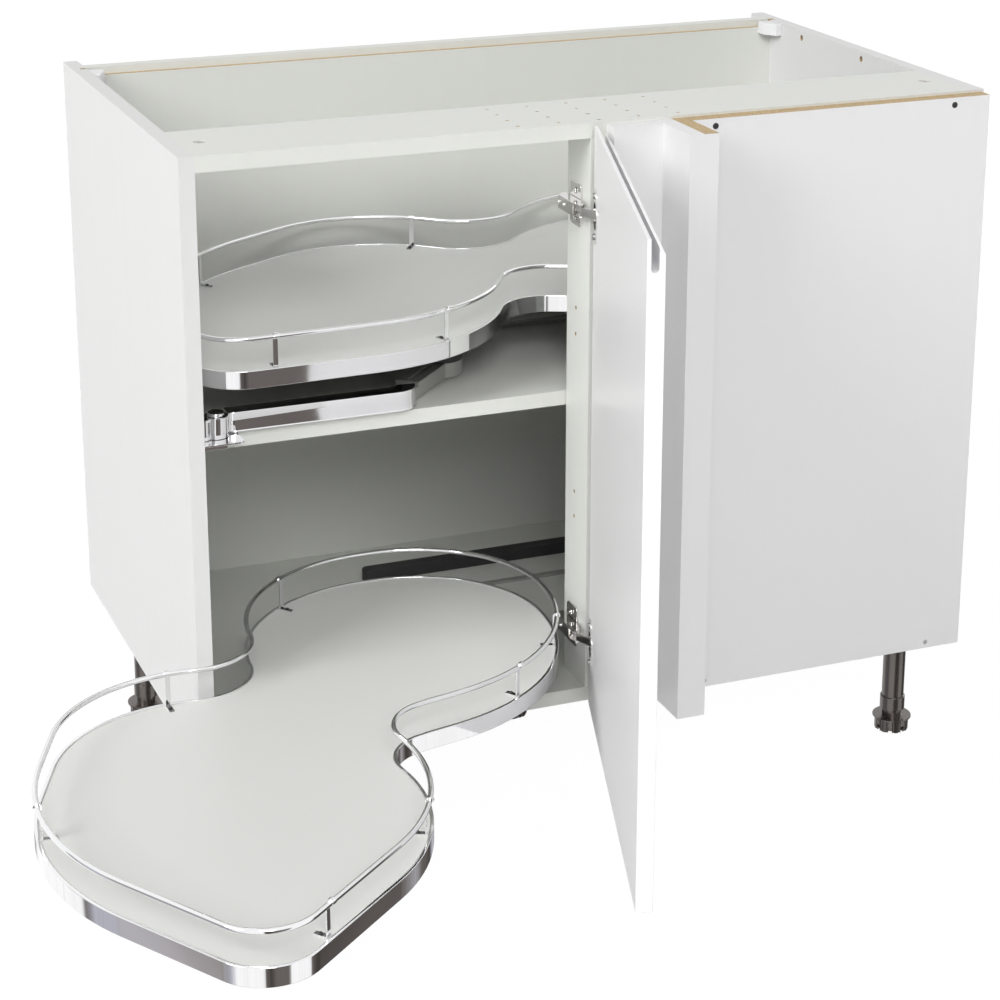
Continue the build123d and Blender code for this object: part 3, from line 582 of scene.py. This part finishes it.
# %% Start a tree, and turn its result into a plain mesh
def geometry_tree(name, inputs):
    """A new geometry tree with named inputs, and a Signal for each of them."""
    group = bpy.data.node_groups.new(name, "GeometryNodeTree")
    group.interface.new_socket("Geometry", in_out="OUTPUT", socket_type="NodeSocketGeometry")
    group.interface.new_socket("Geometry", in_out="INPUT", socket_type="NodeSocketGeometry")
    for label, kind, value in inputs:
        socket = group.interface.new_socket(label, in_out="INPUT", socket_type="NodeSocket" + kind)
        if value is not None:
            socket.default_value = value
    tree = Tree(group)
    start = tree.node("NodeGroupInput")
    return tree, start


def end_tree(tree, geometry, start):
    """Realizes what the tree made and gives it the material that came in."""
    real = tree.node("GeometryNodeRealizeInstances", None, {0: geometry})
    dressed = tree.node(
        "GeometryNodeSetMaterial", None, {"Geometry": real, "Material": start.out("Material")}
    )
    tree.node("NodeGroupOutput", None, {0: dressed})


def run_tree(name, base, group, values):
    """Runs a tree on a mesh and returns the result as a plain object at the origin."""
    holder = new_object(name, base)
    modifier = holder.modifiers.new("made by nodes", "NODES")
    modifier.node_group = group
    for item in group.interface.items_tree:
        if item.in_out == "INPUT" and item.name in values:
            modifier[item.identifier] = values[item.name]
    shown = holder.evaluated_get(bpy.context.evaluated_depsgraph_get())
    mesh = bpy.data.meshes.new_from_object(shown)
    holder.modifiers.clear()
    holder.data = mesh
    return holder


# %% [markdown]
# ## The edge of a tray
# A tray is a board in a chrome band, with a wire railing over it. Band and wire follow
# one kidney-shaped outline: ten corners, each rounded to its own radius. The corners go
# in as ten points with the radius stored on each, and Fillet Curve rounds them.

# %% The outline of a tray, from its corners
inner_left, inner_right = -482 * mm, 482 * mm
carcass_front, inner_back = -290 * mm, 232 * mm
side_gap, end_gap, back_gap, front_setback = 5.9 * mm, 69.4 * mm, 2.9 * mm, 22.6 * mm
tray_aspect = 1.79
tray_left = inner_left + side_gap
tray_front = carcass_front + front_setback
tray_length = inner_right - end_gap - tray_left
tray_width = inner_back - back_gap - tray_front
# Along the tray, across it, and the corner's radius as a share of radius_unit.
corner_shares = [
    (0.7506, 1.1493, 0.4028),
    (1.0809, 0.6780, 0.3303),
    (0.7973, 0.0929, 0.5236),
    (0.5593, 0.3024, 0.3706),
    (0.4896, 0.3547, 0.1148),
    (0.3872, 0.0154, 0.4753),
    (-0.0078, -0.0037, 0.1229),
    (0.0333, 0.6981, 0.5921),
    (0.3776, 1.0546, 0.3484),
    (0.5481, 0.7445, 0.1450),
]
radius_unit = min(tray_width, tray_length / tray_aspect)
print("tray:", round(tray_length / mm), "x", round(tray_width / mm), "mm")


def tray_pose(unit):
    """Where a tray that was drawn stowed stands once its arm and hub have turned."""
    stowed_pivot = post + arm_reach
    pivot = post + turn(arm_angle[unit]) @ arm_reach + Vector((0, 0, tray_rim[unit]))
    return (
        Matrix.Translation(pivot) @ turn(tray_angle[unit]) @ Matrix.Translation(-stowed_pivot)
    )


def outline_mesh(unit):
    """Ten points round a tray, each with the radius of its corner."""
    pose = tray_pose(unit)
    points = [
        pose @ Vector((tray_left + u * tray_length, tray_front + v * tray_width, 0))
        for u, v, bend in corner_shares
    ]
    mesh = bpy.data.meshes.new(unit + " outline")
    count = len(points)
    mesh.from_pydata(points, [(n, (n + 1) % count) for n in range(count)], [])
    bends = mesh.attributes.new("bend", "FLOAT", "POINT")
    for n, (u, v, bend) in enumerate(corner_shares):
        bends.data[n].value = bend * radius_unit
    return mesh


def set_mode(signal, label, value):
    """Sets a node's mode, which is a socket in some versions and a property in others."""
    node = signal.socket.node
    if "Mode" in node.inputs:
        node.inputs["Mode"].default_value = label
    else:
        node.mode = value


def filleted(tree, curve, radius, count):
    """A curve with its corners rounded, each arc in count steps."""
    rounded = tree.node("GeometryNodeFilletCurve", None, {"Curve": curve, "Radius": radius})
    set_mode(rounded, "Poly", "POLY")
    # The socket for the count is there only once the mode is set.
    rounded.socket.node.inputs["Count"].default_value = count
    return rounded


def rounded_path(tree, start, inset, rise):
    """The filleted outline, drawn in by an inset and lifted."""
    curve = tree.node("GeometryNodeMeshToCurve", None, {0: start.out("Geometry")})
    bend = tree.node("GeometryNodeInputNamedAttribute", {"data_type": "FLOAT"}, {"Name": "bend"})
    round_path = filleted(tree, curve, bend, count=22)
    along = tree.node("GeometryNodeInputTangent")
    inward = tree.node(
        "ShaderNodeVectorMath", {"operation": "CROSS_PRODUCT"}, {0: along, 1: (0, 0, 1)}
    )
    step = tree.node(
        "ShaderNodeVectorMath", {"operation": "SCALE"}, {0: inward, "Scale": inset}
    )
    lift = tree.node("ShaderNodeCombineXYZ", None, {"Z": rise})
    offset = tree.node("ShaderNodeVectorMath", {"operation": "ADD"}, {0: step, 1: lift})
    return tree.node("GeometryNodeSetPosition", None, {0: round_path, "Offset": offset})


# %% A wire round the outline
wire_sizes = {"Wire Radius": 3 * mm, "Inset": 3 * mm, "Rise": 36.5 * mm}
tree, start = geometry_tree(
    "Wire round an outline",
    [(name, "Float", size) for name, size in wire_sizes.items()]
    + [("Material", "Material", None)],
)
path = rounded_path(tree, start, start.out("Inset"), start.out("Rise"))
ring = tree.node(
    "GeometryNodeCurvePrimitiveCircle",
    None,
    {"Resolution": 14, "Radius": start.out("Wire Radius")},
)
wire = tree.node("GeometryNodeCurveToMesh", None, {"Curve": path, "Profile Curve": ring})
end_tree(tree, tree.node("GeometryNodeSetShadeSmooth", None, {0: wire}), start)
wire_tree = tree.tree
print("wire of", wire_sizes["Wire Radius"] / mm * 2, "mm")

# %% A band round the outline
band_sizes = {"Thickness": 4 * mm, "Height": 21 * mm, "Edge Radius": 0.7 * mm}
tree, start = geometry_tree(
    "Band round an outline",
    [(name, "Float", size) for name, size in band_sizes.items()]
    + [("Material", "Material", None)],
)
path = rounded_path(tree, start, start.out("Thickness") * 0.5, start.out("Height") * -0.5)
path = tree.node("GeometryNodeSetCurveNormal", None, {"Curve": path})
set_mode(path, "Z Up", "Z_UP")
section = tree.node(
    "GeometryNodeCurvePrimitiveQuadrilateral",
    None,
    {"Width": start.out("Thickness"), "Height": start.out("Height")},
)
section = filleted(tree, section, start.out("Edge Radius"), count=3)
band = tree.node("GeometryNodeCurveToMesh", None, {"Curve": path, "Profile Curve": section})
end_tree(tree, tree.node("GeometryNodeSetShadeSmooth", None, {0: band}), start)
band_tree = tree.tree
print("band of", band_sizes["Height"] / mm, "x", band_sizes["Thickness"] / mm, "mm")


# %% Wire and band for both trays
def compare_boxes(piece, node):
    """Prints how far a new piece and the solid under it reach, in whole millimetres."""
    reach = [f(v.co[i] for v in piece.data.vertices) for f in (min, max) for i in range(3)]
    low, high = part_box(node)
    print(piece.name, [round(v / mm) for v in reach], [round(v / mm) for v in (*low, *high)])


for unit in ("upper", "lower"):
    outline = outline_mesh(unit)
    wire = run_tree(unit + "_wire", outline, wire_tree, {**wire_sizes, "Material": chrome})
    place_on_body(wire, unit + "_tray_railing", chrome)
    compare_boxes(wire, unit + "_tray_railing")
    outline = outline_mesh(unit)
    band = run_tree(unit + "_band", outline, band_tree, {**band_sizes, "Material": chrome})
    for polygon in band.data.polygons:
        polygon.use_smooth = True
    shade_evenly(band)
    place_on_body(band, unit + "_tray_band", chrome)
    compare_boxes(band, unit + "_tray_band")

# %% [markdown]
# ## The cover of an arm
# A chrome channel wraps the front leg of each arm. Its wall bends back at the top into a
# sloped ledge, wide at the post and fading out at the rounded end, and that slope is what
# catches the light along the arm. The section changes along the way, so the mesh is laid
# ring by ring instead of swept.


# %% Lay the cover ring by ring
def cover_section(share):
    """Points of the section in millimetres, inward from the path and up, part way along."""
    low, high, deep, wall, lip = 2.6, 26.0, 23.6, 1.6, 1.1
    widest, narrowest, slope = 8.6, 0.8, 0.27
    ledge = widest * (1 - share) + narrowest
    back = lip + ledge * slope
    return [
        (0, low), (0, low + 0.9), (0.4, low + 1.6), (lip, low + 2.3),
        (lip, high - ledge - 0.2), (lip + 0.1, high - ledge + 0.2),
        (back, high - 0.8), (back + 0.25, high - 0.25), (back + 0.8, high),
        (deep, high), (deep, high - wall), (back + wall, high - wall),
        (lip + wall, high - ledge - 1), (lip + wall, low),
    ]


def arm_cover(unit):
    """The cover along its path: a straight run, then a quarter turn inward."""
    # Millimetres from the post: where it starts and ends, its bend, and its front face.
    start, end, bend, front = 16.0, 251.0, 30.0, 2.0
    run, turns = 24, 16
    straight = [(start + (end - bend - start) * n / run, front, 0.0) for n in range(run + 1)]
    curve = [
        (end - bend + bend * math.sin(a), front + bend - bend * math.cos(a), a)
        for a in [math.pi / 2 * n / turns for n in range(1, turns + 1)]
    ]
    stations = straight + curve
    lift = Vector((0, 0, arm_height[unit]))
    arm_pose = Matrix.Translation(post + lift) @ turn(arm_angle[unit])
    made = bmesh.new()
    rings = []
    for n, (x, y, a) in enumerate(stations):
        ring = []
        for u, z in cover_section(n / (len(stations) - 1)):
            place = Vector((x - u * math.sin(a), y + u * math.cos(a), z)) * mm
            ring.append(made.verts.new(arm_pose @ place))
        rings.append(ring)
    count = len(rings[0])
    for near, far in zip(rings, rings[1:]):
        for n in range(count):
            m = (n + 1) % count
            made.faces.new((near[n], near[m], far[m], far[n]))
    made.faces.new(rings[0])
    made.faces.new(list(reversed(rings[-1])))
    bmesh.ops.recalc_face_normals(made, faces=made.faces)
    piece = new_object(unit + "_cover", mesh_from(made, unit + "_cover"))
    smooth_by_angle(piece.data, math.radians(50))
    shade_evenly(piece)
    place_on_body(piece, unit + "_arm_cover", chrome)
    compare_boxes(piece, unit + "_arm_cover")


for unit in ("upper", "lower"):
    arm_cover(unit)

# %% [markdown]
# ## Screw heads
# The same cross-head screw holds hinges, railing brackets and base plates. One head is
# modelled with a real cross sunk in it, and a tree sets copies of it on points, each
# turned to the way the screw looks. The places come from the solids: every separate
# screw in a node gives one point.


# %% One screw head
def screw_head(radius, height, sink, cross):
    """A domed head round a sunk cross, looking up, with its seat on the ground."""
    made = bmesh.new()
    sides = 28
    # Shares of the radius and of the height, from the seat up to the flat top.
    dome = [(1, 0), (1, 0.35), (0.9, 0.8), (0.76, 1)]
    turns = [n * math.tau / sides for n in range(sides)]
    loops = []
    for out, up in dome:
        ring = radius * out
        loops.append(
            [made.verts.new((ring * math.cos(a), ring * math.sin(a), height * up)) for a in turns]
        )
    for low, high in zip(loops, loops[1:]):
        for n in range(sides):
            m = (n + 1) % sides
            made.faces.new((low[n], low[m], high[m], high[n]))
    arm = radius * cross
    half, taper = arm * 0.24, 0.7
    corners = [(arm, half), (half, half), (half, arm), (-half, arm), (-half, half), (-arm, half)]
    corners += [(-x, -y) for x, y in corners]
    lip = [made.verts.new((x, y, height)) for x, y in corners]
    floor_loop = [made.verts.new((x * taper, y * taper, height - sink)) for x, y in corners]
    count = len(lip)
    for n in range(count):
        m = (n + 1) % count
        made.faces.new((lip[n], lip[m], floor_loop[m], floor_loop[n]))
    made.faces.new(floor_loop)
    made.faces.new(list(reversed(loops[0])))
    edges = [made.edges.get((loops[-1][n], loops[-1][(n + 1) % sides])) for n in range(sides)]
    edges += [made.edges.get((lip[n], lip[(n + 1) % count])) for n in range(count)]
    bmesh.ops.triangle_fill(made, use_beauty=True, edges=edges)
    bmesh.ops.recalc_face_normals(made, faces=made.faces)
    mesh = mesh_from(made, "screw head")
    smooth_by_angle(mesh, math.radians(32))
    return new_object("screw head", mesh)


# %% A tree that sets heads on points
tree, start = geometry_tree(
    "Heads on points",
    [("Head", "Object", None), ("Material", "Material", None)],
)
head = tree.node("GeometryNodeObjectInfo", None, {"Object": start.out("Head")}, output="Geometry")
points = tree.node("GeometryNodeMeshToPoints", None, {0: start.out("Geometry")})
facing = tree.node(
    "GeometryNodeInputNamedAttribute", {"data_type": "FLOAT_VECTOR"}, {"Name": "facing"}
)
turned = tree.node(
    "FunctionNodeAlignRotationToVector", {"axis": "Z"}, {"Vector": facing}
)
heads = tree.node(
    "GeometryNodeInstanceOnPoints", None, {"Points": points, "Instance": head, "Rotation": turned}
)
end_tree(tree, heads, start)
heads_tree = tree.tree
print("tree ready:", heads_tree.name)


# %% Where the screws of a node are
def separate_boxes(node):
    """The corners of every separate solid in a node."""
    made = bmesh.new()
    made.from_mesh(cad[node].data)
    bmesh.ops.remove_doubles(made, verts=made.verts, dist=1e-6)
    left_over = set(made.verts)
    boxes = []
    while left_over:
        island, edge_of_island = set(), [left_over.pop()]
        while edge_of_island:
            vert = edge_of_island.pop()
            island.add(vert)
            near = {e.other_vert(vert) for e in vert.link_edges} & left_over
            left_over -= near
            edge_of_island.extend(near)
        low = Vector([min(v.co[axis] for v in island) for axis in range(3)])
        high = Vector([max(v.co[axis] for v in island) for axis in range(3)])
        boxes.append((low, high))
    made.free()
    return sorted(boxes, key=lambda box: tuple(box[0]))


def seat_heads(name, places, facing, head, material):
    """Sets heads on places in one mesh, all looking the same way."""
    mesh = bpy.data.meshes.new(name)
    mesh.from_pydata(places, [], [])
    ways = mesh.attributes.new("facing", "FLOAT_VECTOR", "POINT")
    for n in range(len(places)):
        ways.data[n].vector = facing
    return run_tree(name, mesh, heads_tree, {"Head": head, "Material": material})


def heads_for(node, facing, head, height, material):
    """Swaps the screws of a node for heads that stand where they stood."""
    facing = Vector(facing).normalized()
    places = []
    for low, high in separate_boxes(node):
        middle = (low + high) / 2
        reach = max((corner - middle).dot(facing) for corner in (low, high))
        places.append(middle + facing * (reach - height))
    piece = seat_heads(node + "_heads", places, facing, head, material)
    place_on_body(piece, node, material)
    print(piece.name, len(places), "screws")


# %% Screws of the railings, base plates and hinges
up, out_of_stile = (0, 0, 1), (-1, 0, 0)
high_head, low_head = 1.6 * mm, 1.2 * mm
small_head = screw_head(2.2 * mm, high_head, sink=1.0 * mm, cross=0.62)
large_head = screw_head(4.0 * mm, high_head, sink=1.1 * mm, cross=0.6)
flat_head = screw_head(3.7 * mm, low_head, sink=0.9 * mm, cross=0.62)
for unit in ("upper", "lower"):
    heads_for(unit + "_railing_screws", up, small_head, high_head, dark_steel)
heads_for("base_screws", up, large_head, high_head, zinc)
heads_for("hinge_plate_screws", out_of_stile, flat_head, low_head, nickel)

# Two adjusting screws on each hinge arm, which the solids don't have.
arm_low, arm_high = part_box("hinge_arm_top")
arm_low_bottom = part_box("hinge_arm_bottom")[0]
middle = (arm_high[2] - arm_low[2]) / 2
seat_gap = 0.1 * mm
places = [
    Vector((arm_low[0] - seat_gap, arm_high[1] - back * mm, low + middle))
    for low in (arm_low[2], arm_low_bottom[2])
    for back in (9, 24)
]
adjusters = seat_heads("hinge_adjusting_screws", places, Vector(out_of_stile), small_head, nickel)
adjusters.data.materials.clear()
adjusters.data.materials.append(nickel)
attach(adjusters, body_of_node["hinge_arm_top"])
for head in (small_head, large_head, flat_head):
    bpy.data.objects.remove(head)

# %% [markdown]
# ## The other fittings
# Cam fittings, caps and the screws of the fronts are still the plain solids, dressed in
# their own finishes. The legs and the railing brackets are eased copies, and the feet of
# the brackets lie in the shade of the wire, so their chrome is darker.

# %% Dress what is left
for node in ("rail_cam_fittings", "stile_screws", "blind_panel_screws"):
    dress(node, zinc)
dress("blind_panel_caps", black_plastic)
feet = ["foot_front_left", "foot_front_right", "foot_back_left", "foot_back_right", "foot_centre"]
for node in ["leg_sockets", "leg_tubes", *feet]:
    eased_copy(node, leg_plastic, ease=0.3)
dress("hinge_cup_screws", metal("dulled zinc", (0.30, 0.30, 0.295), 0.42, smudge=0.1))
shaded_chrome = metal("shaded chrome", (0.22, 0.22, 0.225), 0.12)
foot_thickness = 1.8 * mm
for unit in ("upper", "lower"):
    brackets = eased_copy(unit + "_railing_brackets", chrome, ease=0.2)
    brackets.data.materials.append(shaded_chrome)
    foot_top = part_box(unit + "_railing_brackets")[0][2] + foot_thickness
    for polygon in brackets.data.polygons:
        if polygon.center.z < foot_top:
            polygon.material_index = 1
print("materials in all:", len(bpy.data.materials))

# %% [markdown]
# ## Floor, room and lamps
# The cabinet stands on a pale floor in a white room. One soft box stands high to the left
# and one high in front: light from high up washes the fronts and falls through the open
# top, but leaves the lower compartment dark. A weaker one lights the back. Chrome shows
# only what stands round it, so mirrored rays see a studio: white screens and dark gaps,
# upright from floor to ceiling and set out by compass, with a white sky above them.


# %% Floor and room
material = bpy.data.materials.new("studio floor")
material.use_nodes = True
material.node_tree.nodes.clear()
tree = Tree(material.node_tree)
seen_by = tree.node("ShaderNodeLightPath", output="Is Camera Ray")
pale = tree.mix(seen_by, (0.8, 0.8, 0.8), (1.0, 1.0, 1.0))
lit = tree.node("ShaderNodeBsdfDiffuse", None, {"Color": pale})
glow = tree.node("ShaderNodeEmission", None, {"Color": (1, 1, 1, 1), "Strength": 1.025})
seen = tree.node("ShaderNodeMixShader", None, {0: seen_by * 0.95, 1: lit, 2: glow})
clear = tree.node("ShaderNodeBsdfTransparent")
seen = tree.node("ShaderNodeMixShader", None, {0: seen_by.out("Is Glossy Ray"), 1: seen, 2: clear})
tree.node("ShaderNodeOutputMaterial", None, {"Surface": seen})
mesh = bpy.data.meshes.new("studio_floor")
half = 14.0
mesh.from_pydata(
    [(-half, -half, 0), (half, -half, 0), (half, half, 0), (-half, half, 0)], [], [(0, 1, 2, 3)]
)
mesh.materials.append(material)
floor = new_object("studio_floor", mesh)

world = bpy.data.worlds.new("white room")
bpy.context.scene.world = world
world.use_nodes = True
world.node_tree.nodes.clear()
tree = Tree(world.node_tree)
seen_by = tree.node("ShaderNodeLightPath", output="Is Camera Ray")
direct = tree.math("MAXIMUM", seen_by, seen_by.out("Is Transmission Ray"))
facing = tree.node("ShaderNodeTexCoord", output="Generated")
level = tree.node(
    "ShaderNodeVectorMath", {"operation": "MULTIPLY"}, {0: facing, 1: (1, 1, 0)}
)
around = tree.node("ShaderNodeVectorMath", {"operation": "NORMALIZE"}, {0: level})


def streaks(scale):
    """Noise over the compass directions of the room, upright from floor to ceiling."""
    values = {"Vector": around, "Scale": scale, "Detail": 2, "Roughness": 0.6}
    return tree.node("ShaderNodeTexNoise", None, values)


white, lilac = (1.0, 1.0, 1.0), (0.46, 0.46, 0.52)
grey, brown, dark = (0.36, 0.35, 0.37), (0.142, 0.126, 0.118), (0.060, 0.053, 0.049)
# Degrees round from the right of the cabinet, anticlockwise seen from above.
screens_by_compass = [
    (-178, grey), (-171, lilac), (-160, white), (-110, white), (-107, brown), (-98, dark),
    (-88, brown), (-66, brown), (-60, white), (-22, white), (-17, brown), (-6, dark),
    (5, dark), (9, brown), (24, grey), (32, brown), (48, dark), (54, lilac), (66, grey),
    (84, brown), (96, white), (142, white), (146, brown), (151, lilac), (163, lilac),
    (166, (0.48, 0.46, 0.48)), (168.6, (0.27, 0.245, 0.235)), (174, grey),
]
compass = tree.node("ShaderNodeTexGradient", {"gradient_type": "RADIAL"}, {"Vector": around})
wander = (streaks(22) - 0.5) * 0.016
screens = tree.node(
    "ShaderNodeValToRGB",
    {"stops": [((angle + 180) / 360, tone) for angle, tone in screens_by_compass]},
    {"Fac": compass.out("Fac") + wander},
)
fine = streaks(48) * 0.5 + 0.75
screens = tree.node(
    "ShaderNodeVectorMath", {"operation": "SCALE"}, {0: screens.out("Color"), "Scale": fine}
)
height = tree.node("ShaderNodeSeparateXYZ", None, {0: facing}).out("Z")
# The screens fade out upwards, and from this height on the sky alone is seen.
only_sky = 0.36
above = tree.node(
    "ShaderNodeMapRange", None, {"Value": height, "From Min": 0.0, "From Max": only_sky}
)
mirrored = tree.mix(above, screens, (1, 1, 1))
colour = tree.mix(seen_by.out("Is Glossy Ray"), (1, 1, 1), mirrored)
plain, more_when_seen, more_when_mirrored = 0.36, 0.64, 0.74
glossy = seen_by.out("Is Glossy Ray")
strength = direct * more_when_seen + glossy * more_when_mirrored + plain
sky = tree.node("ShaderNodeBackground", None, {"Color": colour, "Strength": strength})
tree.node("ShaderNodeOutputWorld", None, {"Surface": sky})
print("screens round the room:", len(screens_by_compass), "stops")


# %% Soft boxes
def soft_box(name, place, target, size, power):
    """A rectangular lamp of some watts that faces a point."""
    lamp = bpy.data.lights.new(name, "AREA")
    lamp.shape = "RECTANGLE"
    lamp.size, lamp.size_y = size
    lamp.energy = power
    stand = new_object(name, lamp)
    stand.location = place
    away = Vector(place) - Vector(target)
    stand.rotation_euler = away.to_track_quat("Z", "Y").to_euler()
    print(name, power, "W")


soft_box("left box", (-8.1, -2.7, 5.8), (0, -0.2, 0.5), (4.5, 4.5), 580)
soft_box("front box", (-2.2, -8.2, 6.1), (0, -0.3, 0.5), (4.0, 4.0), 425)
soft_box("back box", (7.6, 4.6, 2.4), (0, 0, 0.5), (4.0, 3.0), 300)

# %% [markdown]
# ## Camera
# A long lens, so the cabinet's lines stay nearly parallel. It looks down a little and to
# the right, and a small shift brings the swung-out tray into the picture.

# %% Camera
tilt_down, turned_right = 17.13, 21.566
camera_data = bpy.data.cameras.new("camera")
camera = new_object("camera", camera_data)
camera_data.sensor_width = 36.0
camera_data.lens = 89.27
camera_data.shift_y = -0.17
camera.location = (-1.1302, -2.8212, 1.4750)
camera.rotation_euler = (math.radians(90 - tilt_down), 0, math.radians(-turned_right))
bpy.context.scene.camera = camera
bpy.context.scene.view_settings.view_transform = "Standard"
print("camera at", [round(x, 2) for x in camera.location])
